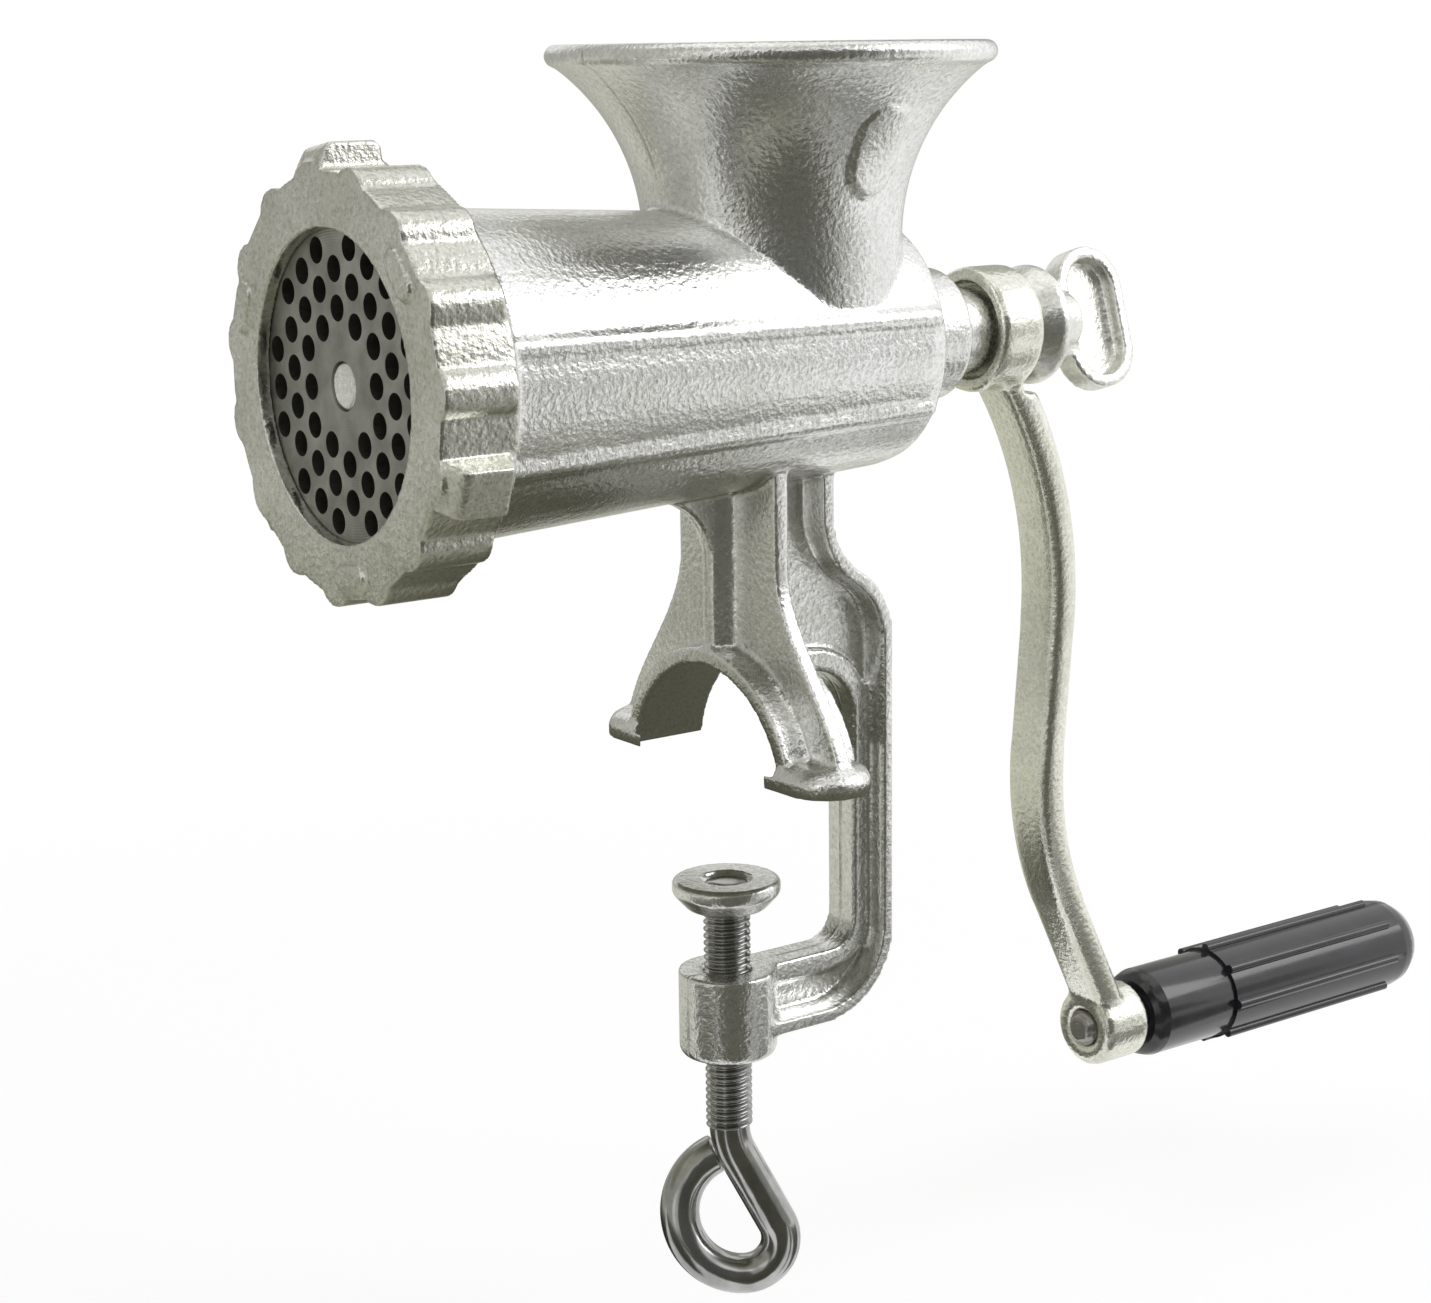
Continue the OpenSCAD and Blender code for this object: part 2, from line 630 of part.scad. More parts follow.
module grip_pin() {
    color([0.35, 0.35, 0.36]) translate([0, 0, grip_z]) rotate([0, 90, 0]) {
        translate([0, 0, boss_x1 - 1.4]) cylinder(r1 = pin_r - 1.4, r2 = pin_r - 0.8, h = 0.6);
        translate([0, 0, boss_x1 - 0.8]) cylinder(r = pin_r - 0.8, h = 1);
        translate([0, 0, boss_x1]) cylinder(r = pin_r, h = core_end - boss_x1);
        translate([0, 0, core_end + 1.5]) cylinder(r = pin_r + 2.4, h = 2.5);
        translate([0, 0, core_end - 1]) cylinder(r = pin_r, h = 4);
    }
}

module grip_washer() {
    color([0.6, 0.61, 0.62]) translate([core_end, 0, grip_z]) rotate([0, 90, 0]) difference() {
        cylinder(r = pin_r + 3, h = 1.5);
        translate([0, 0, -1]) cylinder(r = pin_r, h = 4);
    }
}

module grip_core() {
    color([0.06, 0.06, 0.065]) translate([grip_x, 0, grip_z]) rotate([0, 90, 0]) difference() {
        rotate_extrude() polygon([[pin_r + run_gap, 0], [collar_r - 2.2, 0], [collar_r - 0.6, 1.2],
            [collar_r, 3], [collar_r, collar_len], [spigot_r, collar_len], [spigot_r, core_end - grip_x - free_gap],
            [pin_r + run_gap, core_end - grip_x - free_gap]]);
    }
}

module grip_sleeve() {
    h = grip_end - sleeve_x;
    color([0.05, 0.05, 0.055]) translate([sleeve_x, 0, grip_z]) rotate([0, 90, 0]) {
        difference() {
            union() {
                rotate_extrude() polygon([[0, 0], [sleeve_r, 0], [sleeve_r, h - 8], [sleeve_r - 0.5, h - 5],
                    [sleeve_r - 2, h - 2.4], [sleeve_r - 4.4, h - 0.7], [sleeve_r - 7, h], [0, h]]);
                for (a = [0 : 45 : 315]) rotate([0, 0, a]) translate([sleeve_r + 0.1, 0, 0])
                    cylinder(r = 1.1, h = h - 12, $fn = 32);
            }
            translate([0, 0, -1]) cylinder(r = spigot_r, h = core_end - sleeve_x + 1);
            translate([0, 0, core_end - sleeve_x - 0.5]) cylinder(r = spigot_r - 0.4, h = 5.5);
        }
    }
}

module clamp_screw() {
    color([0.5, 0.5, 0.5]) rotate([0, 0, eye_turn]) {
        translate([0, 0, thread_end - 0.4]) cylinder(r = screw_r, h = pad_low - thread_end + 0.4);
        translate([0, 0, pad_low - 1]) cylinder(r = tip_r, h = pad_t - 0.2);
        translate([0, 0, pad_top - 2]) cylinder(r1 = tip_r, r2 = tip_r + 1.6, h = 1.2);
        eye_wire(thread_end, 2.4, thread_end - 25.4);
    }
}

// Bent eye under the thread: the rod leans out, turns round the eye and ends tucked behind itself
module eye_wire(zt, ex, ez) {
    r = screw_r - 0.65;
    bend = 15;
    join = 6;
    low = ez - eye_r;
    translate([bend, 0, zt]) rotate([90, 0, 0]) rotate([0, 0, 180]) rotate_extrude(angle = lean)
        translate([bend, 0]) circle(r = r);
    rod([bend * (1 - cos(lean)), zt - bend * sin(lean)], [ex + eye_r * cos(lean), ez + eye_r * sin(lean)], r);
    translate([ex, 0, ez]) rotate([90, 0, 0]) rotate([0, 0, -90 + join]) rotate_extrude(angle = 90 - join + lean)
        translate([eye_r, 0]) circle(r = r);
    rod([ex + eye_r * sin(join), ez - eye_r * cos(join)], [ex - 0.6, low], r);
    translate([ex, 0, low]) rotate([-tuck, 0, 0]) translate([0, 0, eye_loop_r]) rotate([90, 0, 0])
        rotate([0, 0, 112]) rotate_extrude(angle = 155.5) translate([eye_loop_r, 0]) circle(r = r);
}

// Straight rod between two points of the eye plane, a hair thinner and reaching into the bends at both ends
module rod(a, b, r) {
    d = b - a;
    translate([a[0], 0, a[1]]) rotate([0, atan2(d[0], d[1]), 0]) translate([0, 0, -0.7])
        cylinder(r = r - 0.15, h = norm(d) + 1.4);
}

module clamp_pad() {
    color([0.7, 0.7, 0.68]) translate([0, 0, pad_low]) difference() {
        rotate_extrude() polygon([[0, 0], [pad_r - 3, 0], [pad_r - 0.6, 2.6], [pad_r, 3.4], [pad_r, pad_t - 0.6],
            [pad_r - 0.6, pad_t], [0, pad_t]]);
        translate([0, 0, -1]) cylinder(r = tip_r + run_gap, h = pad_t + 2);
        translate([0, 0, pad_t - 2 - run_gap]) cylinder(r1 = tip_r + run_gap, r2 = tip_r + 1.6 + run_gap, h = 1.2);
        translate([0, 0, pad_t - 0.9]) cylinder(r = tip_r + 2.2, h = 2);
    }
}

body_casting();
plate_key_pin();
rear_bush();
thrust_washer();
auger();
knife_stud();
knife();
grinder_plate();
ring_nut();
crank_arm();
thumb_screw();
grip_pin();
grip_washer();
grip_core();
grip_sleeve();
clamp_screw();
clamp_pad();
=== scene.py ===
# %% [markdown]
# # A hand-cranked meat grinder
# The grinder is a barrel with a hopper, cast in one piece with its clamp. A crank turns a worm screw in the
# barrel, which pushes the meat past a knife and through a plate with holes. All of it could be drawn again
# in Blender, but two drawings of one thing drift apart. So the imported solids come in first and give every
# place and size, and this lesson dresses them: castings with soft corners, a cut thread, a bent eye, and a
# finish for every piece. The box of the solids gives the height of the floor.

# %% Load the frame
import math

import bmesh
import bpy
from mathutils import Matrix, Vector


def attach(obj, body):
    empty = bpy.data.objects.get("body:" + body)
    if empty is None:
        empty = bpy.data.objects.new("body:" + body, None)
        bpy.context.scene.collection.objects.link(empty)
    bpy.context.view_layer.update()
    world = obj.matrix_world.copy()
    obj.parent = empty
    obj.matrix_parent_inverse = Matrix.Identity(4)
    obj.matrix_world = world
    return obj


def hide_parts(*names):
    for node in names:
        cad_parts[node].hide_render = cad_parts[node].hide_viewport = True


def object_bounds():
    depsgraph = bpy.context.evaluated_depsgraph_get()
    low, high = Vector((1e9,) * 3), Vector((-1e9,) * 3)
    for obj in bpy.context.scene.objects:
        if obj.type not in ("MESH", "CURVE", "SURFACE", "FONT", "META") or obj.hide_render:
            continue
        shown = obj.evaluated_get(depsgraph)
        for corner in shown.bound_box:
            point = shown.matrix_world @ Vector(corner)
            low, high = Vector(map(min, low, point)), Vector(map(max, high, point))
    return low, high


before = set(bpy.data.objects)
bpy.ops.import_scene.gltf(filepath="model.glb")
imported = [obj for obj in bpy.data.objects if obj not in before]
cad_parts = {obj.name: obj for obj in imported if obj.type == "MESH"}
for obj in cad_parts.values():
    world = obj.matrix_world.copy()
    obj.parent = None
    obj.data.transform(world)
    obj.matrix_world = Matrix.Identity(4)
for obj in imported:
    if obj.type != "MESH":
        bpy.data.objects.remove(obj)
cad_lo, cad_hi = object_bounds()
scene = bpy.context.scene
MM = 0.001
print("solids:", len(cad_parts), "height of the box in mm:", round((cad_hi.z - cad_lo.z) / MM, 1))

# %% [markdown]
# ## The camera
# The picture to match looks at the outlet from one side and a little from above. Such a view could be found
# by trial, but the holes of the plate lie on a known lattice, so the camera can be worked out from them. The
# numbers below are that camera: where it stands, how far it is turned, tipped and rolled, and its focal
# length in pixels of the picture.

# %% Camera
TURN, TIP, ROLL = math.radians(36.04), math.radians(12.19), math.radians(-0.78)
STAND = Vector((-317.4, -433.6, 138.8)) * MM
FOCAL_PX, IMAGE_W_PX, SENSOR_MM = 2772.1, 1431, 36
NEAREST, FARTHEST = 0.01, 50

forward = Vector((math.sin(TURN) * math.cos(TIP), math.cos(TURN) * math.cos(TIP), -math.sin(TIP)))
level = Vector((math.cos(TURN), -math.sin(TURN), 0))
upright = level.cross(forward)
right = level * math.cos(ROLL) + upright * math.sin(ROLL)
up = upright * math.cos(ROLL) - level * math.sin(ROLL)
camera_data = bpy.data.cameras.new("camera")
camera_data.sensor_fit = "HORIZONTAL"
camera_data.sensor_width = SENSOR_MM
camera_data.lens = FOCAL_PX / IMAGE_W_PX * SENSOR_MM
camera_data.clip_start, camera_data.clip_end = NEAREST, FARTHEST
camera = bpy.data.objects.new("camera", camera_data)
scene.collection.objects.link(camera)
camera.matrix_world = Matrix.Translation(STAND) @ Matrix((right, up, -forward)).transposed().to_4x4()
scene.camera = camera
print("lens in mm:", round(camera_data.lens, 2))

# %% [markdown]
# ## Wiring nodes
# Lights, finishes and some of the shapes below are node trees. A tree could be wired by hand in the editor,
# but a script can be read and run again. Four small helpers keep the wiring short: one feeds a socket, one
# adds a node, one adds a step of arithmetic, and one starts an empty material.

# %% Node helpers
def feed(tree, socket, value):
    """Sets a plain value on a socket, or joins another node's socket to it."""
    if isinstance(value, bpy.types.NodeSocket):
        tree.links.new(value, socket)
    else:
        socket.default_value = value


def add_node(tree, kind, inputs=None, **choices):
    """Adds a node, makes its choices and feeds its inputs, which go by name or by number."""
    made = tree.nodes.new(kind)
    for choice, value in choices.items():
        setattr(made, choice, value)
    for key, value in (inputs or {}).items():
        feed(tree, made.inputs[key], value)
    return made


def math_step(tree, operation, *values):
    """One step of arithmetic with one or two values."""
    return add_node(tree, "ShaderNodeMath", dict(enumerate(values)), operation=operation).outputs[0]


def bare_material(name):
    """A material whose node tree is still empty."""
    made = bpy.data.materials.new(name)
    made.use_nodes = True
    made.node_tree.nodes.clear()
    return made


print("node helpers ready")

# %% [markdown]
# ## World and floor
# A product picture stands on plain white. Strong lamps could burn the ground out to white, but they would
# burn out the tin as well. So the world and the floor have two shaders each: a white one for what the camera
# sees, straight or mirrored in metal, and a dimmer one that lights the grinder. Near the middle the floor
# keeps a soft shadow, and further out it fades into the white of the world.

# %% World
def white_for_camera(tree, lit, ground):
    """Shows the ground shader to the camera and to mirrors, and lights the grinder with the other one."""
    path = add_node(tree, "ShaderNodeLightPath").outputs
    seen = path["Is Camera Ray"]
    for ray in ("Is Transmission Ray", "Is Glossy Ray"):
        seen = math_step(tree, "MAXIMUM", seen, path[ray])
    return add_node(tree, "ShaderNodeMixShader", {0: seen, 1: lit, 2: ground}).outputs[0]


WORLD_GREY, WORLD_STRENGTH = (0.8, 0.8, 0.8, 1), 0.4
world = bpy.data.worlds.new("studio")
scene.world = world
world.use_nodes = True
tree = world.node_tree
tree.nodes.clear()
dim = add_node(tree, "ShaderNodeBackground", {"Color": WORLD_GREY, "Strength": WORLD_STRENGTH})
white = add_node(tree, "ShaderNodeBackground", {"Color": (1, 1, 1, 1)})
sky = white_for_camera(tree, dim.outputs[0], white.outputs[0])
add_node(tree, "ShaderNodeOutputWorld", {"Surface": sky})
print("strength of the world:", WORLD_STRENGTH)


# %% Floor
def from_middle(tree, near, far):
    """A value that goes softly from 0 to 1 with the distance from the middle of the scene."""
    place = add_node(tree, "ShaderNodeTexCoord").outputs["Object"]
    reach = add_node(tree, "ShaderNodeVectorMath", {0: place}, operation="LENGTH").outputs["Value"]
    return add_node(tree, "ShaderNodeMapRange", {"Value": reach, "From Min": near, "From Max": far},
                    interpolation_type="SMOOTHSTEP").outputs[0]


def flat_sheet(name, corners, material):
    """One four-cornered face that belongs to the studio and not to the grinder."""
    mesh = bpy.data.meshes.new(name)
    mesh.from_pydata(corners, [], [(0, 1, 2, 3)])
    mesh.materials.append(material)
    made = bpy.data.objects.new(name, mesh)
    scene.collection.objects.link(made)
    return made


# The clamp screw can be let down, and the floor leaves room for it.
SCREW_DOWN, FLOOR_GAP = 12 * MM, 1.5 * MM
FLOOR_HALF, FADE_NEAR, FADE_FAR = 4, 0.25, 0.6
PAINT, SHADOW_GREY, GLOW = (0.86, 0.86, 0.85, 1), (0.34, 0.34, 0.34, 1), 0.8
floor_z = cad_lo.z - SCREW_DOWN - FLOOR_GAP
floor_material = bare_material("pale_floor")
tree = floor_material.node_tree
paint = add_node(tree, "ShaderNodeBsdfDiffuse", {"Color": PAINT})
glow = add_node(tree, "ShaderNodeEmission", {"Strength": GLOW})
shadow = add_node(tree, "ShaderNodeBsdfDiffuse", {"Color": SHADOW_GREY})
near = add_node(tree, "ShaderNodeAddShader", {0: glow.outputs[0], 1: shadow.outputs[0]})
far = add_node(tree, "ShaderNodeEmission")
shown = add_node(tree, "ShaderNodeMixShader", {0: from_middle(tree, FADE_NEAR, FADE_FAR),
                                               1: near.outputs[0], 2: far.outputs[0]})
surface = white_for_camera(tree, paint.outputs[0], shown.outputs[0])
add_node(tree, "ShaderNodeOutputMaterial", {"Surface": surface})
flat_sheet("floor", [(x * FLOOR_HALF, y * FLOOR_HALF, floor_z)
                     for x, y in ((-1, -1), (1, -1), (1, 1), (-1, 1))], floor_material)
print("floor in mm:", round(floor_z / MM, 1))

# %% [markdown]
# ## Lamps
# The light in the picture comes mostly from the right and from above, and its shadows are soft. A sun lamp
# would draw hard shadow edges, so four large area lamps are used: one main lamp, one above, and two weak
# ones that open the shadows. Their power is kept low, so that a colour renders about as it is written.

# %% Lamps
MIDDLE = Vector((0.02, 0, 0.05))


def soft_lamp(name, place, size, power):
    """A rectangular lamp, aimed at the middle of the grinder."""
    data = bpy.data.lights.new(name, "AREA")
    data.shape = "RECTANGLE"
    data.size, data.size_y = size
    data.energy = power
    lamp = bpy.data.objects.new(name, data)
    lamp.location = place
    lamp.rotation_euler = (MIDDLE - Vector(place)).to_track_quat("-Z", "Y").to_euler()
    scene.collection.objects.link(lamp)


soft_lamp("key_right", (0.85, -0.72, 0.78), size=(0.8, 0.7), power=4.2)
soft_lamp("top", (0.0, 0.1, 1.1), size=(1.0, 1.0), power=1.8)
soft_lamp("front_left", (-1.1, -0.55, 0.35), size=(0.7, 0.9), power=0.9)
soft_lamp("back_edge", (0.35, 1.0, 0.5), size=(0.8, 0.5), power=0.6)
scene.view_settings.view_transform = "Standard"

# %% [markdown]
# ## Cards for the metal to mirror
# Bright metal has hardly any colour of its own, and looks like what it mirrors. In an all-white studio it
# would fade into the ground. A picture of a room could be wrapped round the scene, but a photographer's
# way is simpler: grey and dark cards stand round the grinder, out of sight. Here only mirror rays see the
# cards, so they neither light the grinder nor shade the floor, and each one can be set by itself.

# %% Card helpers
WALL_R, ROOF_Z = 1.4, 1.7


def grey(level, warm=0.07):
    """A card tone that is a little less blue than neutral."""
    return (level, level, level * (1 - warm))


def card(name, corners, tones, reach):
    """A flat glowing card. Its tones run outwards from the middle of the scene, over the given reach."""
    material = bare_material(name)
    tree = material.node_tree
    ramp = add_node(tree, "ShaderNodeValToRGB", {0: from_middle(tree, 0.0, reach)})
    stops = ramp.color_ramp.elements
    while len(stops) < len(tones):
        stops.new(0.5)
    for stop, (position, colour) in zip(stops, tones):
        stop.position = position
        stop.color = (*colour, 1)
    glow = add_node(tree, "ShaderNodeEmission", {"Color": ramp.outputs[0]})
    add_node(tree, "ShaderNodeOutputMaterial", {"Surface": glow.outputs[0]})
    made = flat_sheet(name, corners, material)
    made.visible_camera = made.visible_diffuse = made.visible_shadow = made.visible_transmission = False


def around(turn, reach, z):
    """A point at a compass turn round the grinder: 0 is straight in front, 90 is on the crank's side."""
    return (math.sin(math.radians(turn)) * reach, -math.cos(math.radians(turn)) * reach, z)


print("cards stand", WALL_R, "m away")


# %% Walls and roof
def wall(name, turn, half, top, tone):
    """An upright card of one tone. It reaches half degrees to each side of a compass turn."""
    corner_r = WALL_R / math.cos(math.radians(half))
    places = ((turn - half, floor_z), (turn + half, floor_z), (turn + half, top), (turn - half, top))
    card(name, [around(side, corner_r, z) for side, z in places], [(0.0, tone), (1.0, tone)], WALL_R)


wall("front_card", turn=-18, half=46, top=0.85, tone=grey(0.12))
wall("left_card", turn=-108, half=44, top=2.0, tone=grey(0.48))
wall("back_card", turn=166, half=46, top=2.0, tone=grey(0.42))
wall("right_low_card", turn=33, half=17, top=0.15, tone=grey(0.38))
ROOF_X = (-WALL_R, 0.85)
card("top_card", [(ROOF_X[0], -WALL_R, ROOF_Z), (ROOF_X[1], -WALL_R, ROOF_Z),
                  (ROOF_X[1], WALL_R, ROOF_Z), (ROOF_X[0], WALL_R, ROOF_Z)],
     [(0.0, grey(0.5)), (1.0, grey(0.5))], 2.0)

# %% [markdown]
# ## Cards on the ground
# The undersides mirror the ground. Six wedges lie on the floor round the grinder, dark close to it, where
# its own shade would be, and mostly paler further out. One large card could not be dark in front and pale on
# the right. Each wedge lies a hair above the last, because faces in one plane render as a patchwork where
# they overlap. Two small cards close below the feet keep the stand dark from underneath.

# %% Cards on the ground
UNDER, DARK, PALE = grey(0.05, 0.25), grey(0.11, 0.2), grey(0.95, 0.01)
LAYER, INNER_R, SIDE_R, OUTER_R, GROUND_REACH = 0.2 * MM, 0.02, 1.6, 1.8, 1.2
WEDGES = [
    ("low_back", 120, 240, [
        (0.0, UNDER), (0.042, UNDER), (0.062, grey(0.2, 0.15)), (0.1, grey(0.6, 0.12)),
        (0.66, grey(0.6, 0.12)), (0.9, grey(0.46, 0.12)), (1.0, grey(0.46, 0.12))]),
    ("low_left", -120, -60, [
        (0.0, UNDER), (0.05, DARK), (0.28, grey(0.2, 0.12)), (0.38, grey(0.52, 0.1)),
        (1.0, grey(0.56, 0.1))]),
    ("low_front", -64, 18, [(0.0, UNDER), (0.05, DARK), (1.0, DARK)]),
    ("low_between", 18, 33, [(0.0, UNDER), (0.1, grey(0.28)), (1.0, grey(0.4))]),
    ("low_right", 33, 76, [
        (0.0, UNDER), (0.06, grey(0.18)), (0.17, grey(0.26)), (0.25, grey(0.6)), (0.32, PALE),
        (1.0, PALE)]),
    ("low_side", 76, 120, [(0.0, grey(0.3)), (0.03, grey(0.7)), (0.08, PALE), (1.0, PALE)]),
]
for layer, (name, start, end, tones) in enumerate(WEDGES, 1):
    z, between = floor_z + layer * LAYER, (start + end) / 2
    card(name, [around(between, INNER_R, z), around(start, SIDE_R, z), around(between, OUTER_R, z),
                around(end, SIDE_R, z)], tones, GROUND_REACH)
print("cards on the ground:", len(WEDGES))


# %% Cards below the feet
FEET_Z, FEET_REACH = -1 * MM, 0.3


def below_feet(name, x, y, tones):
    """A level card just below the feet, between two values of x and of y."""
    corners = [(x[0], y[0], FEET_Z), (x[1], y[0], FEET_Z), (x[1], y[1], FEET_Z), (x[0], y[1], FEET_Z)]
    card(name, corners, tones, FEET_REACH)


below_feet("under_stand_card", x=(-0.3, 0.03), y=(-0.09, 0.06), tones=[
    (0.0, grey(0.07, 0.3)), (0.08, grey(0.12, 0.28)), (0.22, grey(0.42, 0.15)), (1.0, grey(0.52, 0.12))])
below_feet("behind_stand_card", x=(-0.3, -0.05), y=(0.06, 0.22), tones=[
    (0.0, grey(0.26, 0.2)), (1.0, grey(0.32, 0.2))])

# %% [markdown]
# ## How a finish is mixed
# No real surface is one flat colour. A picture could be wrapped round each piece, but pictures bring seams
# and one fixed sharpness. So each finish is mixed from noise that is read at the piece's own coordinates.
# The helpers each add one part of such a mix: the noise, a range, a pair of colours, or bumps.

# %% Finish helpers
def noise(tree, coord, scale, detail, rough=0.55):
    """Cloudy noise. Its scale is in cells per metre."""
    return add_node(tree, "ShaderNodeTexNoise", {
        "Vector": coord, "Scale": scale, "Detail": detail, "Roughness": rough}).outputs["Fac"]


def spread(tree, value, low, high, start=0.3, end=0.7):
    """Stretches the part of a value between start and end over the range from low to high."""
    return add_node(tree, "ShaderNodeMapRange", {
        "Value": value, "From Min": start, "From Max": end, "To Min": low, "To Max": high}).outputs[0]


def blended(tree, first, second, share):
    """A mix of two values, with this share of the first one."""
    return math_step(tree, "ADD", math_step(tree, "MULTIPLY", first, share),
                     math_step(tree, "MULTIPLY", second, 1 - share))


def two_colours(tree, value, first, second, start=0.35, end=0.65):
    """Goes from the first colour to the second as the value goes from start to end."""
    ramp = add_node(tree, "ShaderNodeValToRGB", {0: value})
    for stop, position, colour in zip(ramp.color_ramp.elements, (start, end), (first, second)):
        stop.position = position
        stop.color = (*colour, 1)
    return ramp.outputs[0]


def bumped(tree, height, strength, distance):
    """Bumps from a height value."""
    return add_node(tree, "ShaderNodeBump", {
        "Height": height, "Strength": strength, "Distance": distance}).outputs["Normal"]


def start_finish(name, metallic):
    """A material with one shader, whose sockets are still to be fed, and the piece's own coordinates."""
    made = bare_material(name)
    tree = made.node_tree
    shader = add_node(tree, "ShaderNodeBsdfPrincipled", {"Metallic": metallic})
    add_node(tree, "ShaderNodeOutputMaterial", {"Surface": shader.outputs[0]})
    return made, tree, shader.inputs, add_node(tree, "ShaderNodeTexCoord").outputs["Object"]


print("finish helpers ready")

# %% [markdown]
# ## Tinned iron
# The castings are iron that was poured into sand and dipped in molten tin. The tin is bright and a little
# warm, and it keeps the fine grain of the sand. So colour, roughness and bumps all come from noise of about a
# millimetre, with wider patches where the tin ran unevenly, and the deepest pits of the grain get painted
# shade. The grain could be real geometry, but that would take millions of faces. On the large casting a faint
# broken line, a groove with painted shade in it, marks where the two halves of the mould met.

# %% Tinned iron
PATCHES, SAND, SPECKS = 60, 900, 1500
GRAIN_DEPTH, SEAM_HALF = 0.5 * MM, 0.6 * MM


def mould_seam(tree, coord, patches):
    """A thin line all along the middle plane, which fades where the tin has filled it."""
    y = add_node(tree, "ShaderNodeSeparateXYZ", {0: coord}).outputs["Y"]
    line = add_node(tree, "ShaderNodeMapRange", {
        "Value": math_step(tree, "ABSOLUTE", y), "From Min": 0.0, "From Max": SEAM_HALF,
        "To Min": 1.0, "To Max": 0.0}, interpolation_type="SMOOTHSTEP").outputs[0]
    filled = spread(tree, patches, low=0.0, high=0.8, start=0.4, end=0.6)
    return math_step(tree, "MULTIPLY", line, filled)


def tinned_iron(name, light, shade, smooth, rough, grain, pit_shade, seam=False):
    """Bright tin over the grain of a sand mould. Light catches the grain, and painted shade darkens its
    deepest pits.
    """
    made, tree, sockets, coord = start_finish(name, 1.0)
    patches = noise(tree, coord, PATCHES, detail=4)
    sand = noise(tree, coord, SAND, detail=2, rough=0.5)
    specks = noise(tree, coord, SPECKS, detail=2, rough=0.5)
    cloud = blended(tree, patches, sand, share=0.5)
    height = blended(tree, sand, specks, share=0.75)
    # Painted shade darkens the deepest pits of the grain.
    painted_shade = spread(tree, specks, low=1 - pit_shade, high=1.0, start=0.3, end=0.52)
    if seam:
        line = mould_seam(tree, coord, patches)
        height = math_step(tree, "SUBTRACT", height, line)
        # Painted shade darkens the groove of the seam.
        shadow = spread(tree, line, low=1.0, high=0.6, start=0.0, end=1.0)
        painted_shade = math_step(tree, "MULTIPLY", painted_shade, shadow)
    tone = add_node(tree, "ShaderNodeMix", data_type="RGBA", blend_type="MULTIPLY")
    # Sockets 6 and 7 of this node are its two colours, and output 2 is their product.
    feed(tree, tone.inputs["Factor"], 1.0)
    feed(tree, tone.inputs[6], two_colours(tree, cloud, shade, light, start=0.38, end=0.6))
    feed(tree, tone.inputs[7], painted_shade)
    feed(tree, sockets["Base Color"], tone.outputs[2])
    feed(tree, sockets["Roughness"], spread(tree, cloud, rough, smooth))
    feed(tree, sockets["Normal"], bumped(tree, height, grain, GRAIN_DEPTH))
    return made


print("grain of the sand in mm:", round(1 / SAND / MM, 2))

# %% The tinned finishes
TIN_LIGHT, TIN_SHADE = (0.91, 0.91, 0.9), (0.76, 0.76, 0.73)
tin_body = tinned_iron("tin_on_casting", TIN_LIGHT, TIN_SHADE, smooth=0.2, rough=0.3, grain=0.5,
                       pit_shade=0.16, seam=True)
tin_ring = tinned_iron("tin_on_ring", (0.76, 0.76, 0.71), (0.6, 0.6, 0.53), smooth=0.24, rough=0.36,
                       grain=0.45, pit_shade=0.25)
tin_crank = tinned_iron("tin_on_crank", (0.92, 0.92, 0.84), (0.78, 0.78, 0.69), smooth=0.2, rough=0.3,
                        grain=0.35, pit_shade=0.14)
tin_thumb = tinned_iron("tin_on_thumb_screw", (0.92, 0.92, 0.88), (0.78, 0.78, 0.73), smooth=0.28,
                        rough=0.38, grain=0.4, pit_shade=0.14)
tin_small = tinned_iron("tin_on_small_pieces", TIN_LIGHT, TIN_SHADE, smooth=0.2, rough=0.3, grain=0.25,
                        pit_shade=0.1)
print("tinned finishes:", [m.name for m in (tin_body, tin_ring, tin_crank, tin_thumb, tin_small)])

# %% [markdown]
# ## Cut steel
# The plate and the knife are ground, and the clamp screw and the rivet are drawn or turned. Tools leave fine
# rings round the axis they worked about. The rings could be cut into the mesh, but they are less deep than a
# hair, so they are bumps: a sine of the distance from the axis. A cloud of noise makes the steel uneven.

# %% Cut steel
STEEL_CLOUD, RING_DEPTH = 160, 0.1 * MM


def cut_steel(name, light, shade, smooth, rough, centre, axis, pitch, strength):
    """Steel with fine rings round an axis through the centre, where axis is X, Y or Z."""
    made, tree, sockets, coord = start_finish(name, 1.0)
    moved = add_node(tree, "ShaderNodeVectorMath", {0: coord, 1: centre}, operation="SUBTRACT")
    across = [float(letter != axis) for letter in "XYZ"]
    flat = add_node(tree, "ShaderNodeVectorMath", {0: moved.outputs[0], 1: across}, operation="MULTIPLY")
    reach = add_node(tree, "ShaderNodeVectorMath", {0: flat.outputs[0]}, operation="LENGTH")
    rings = math_step(tree, "SINE", math_step(tree, "MULTIPLY", reach.outputs["Value"], 2 * math.pi / pitch))
    cloud = noise(tree, coord, STEEL_CLOUD, detail=4)
    feed(tree, sockets["Base Color"], two_colours(tree, cloud, shade, light))
    feed(tree, sockets["Roughness"], spread(tree, cloud, rough, smooth))
    feed(tree, sockets["Normal"], bumped(tree, rings, strength, RING_DEPTH))
    return made


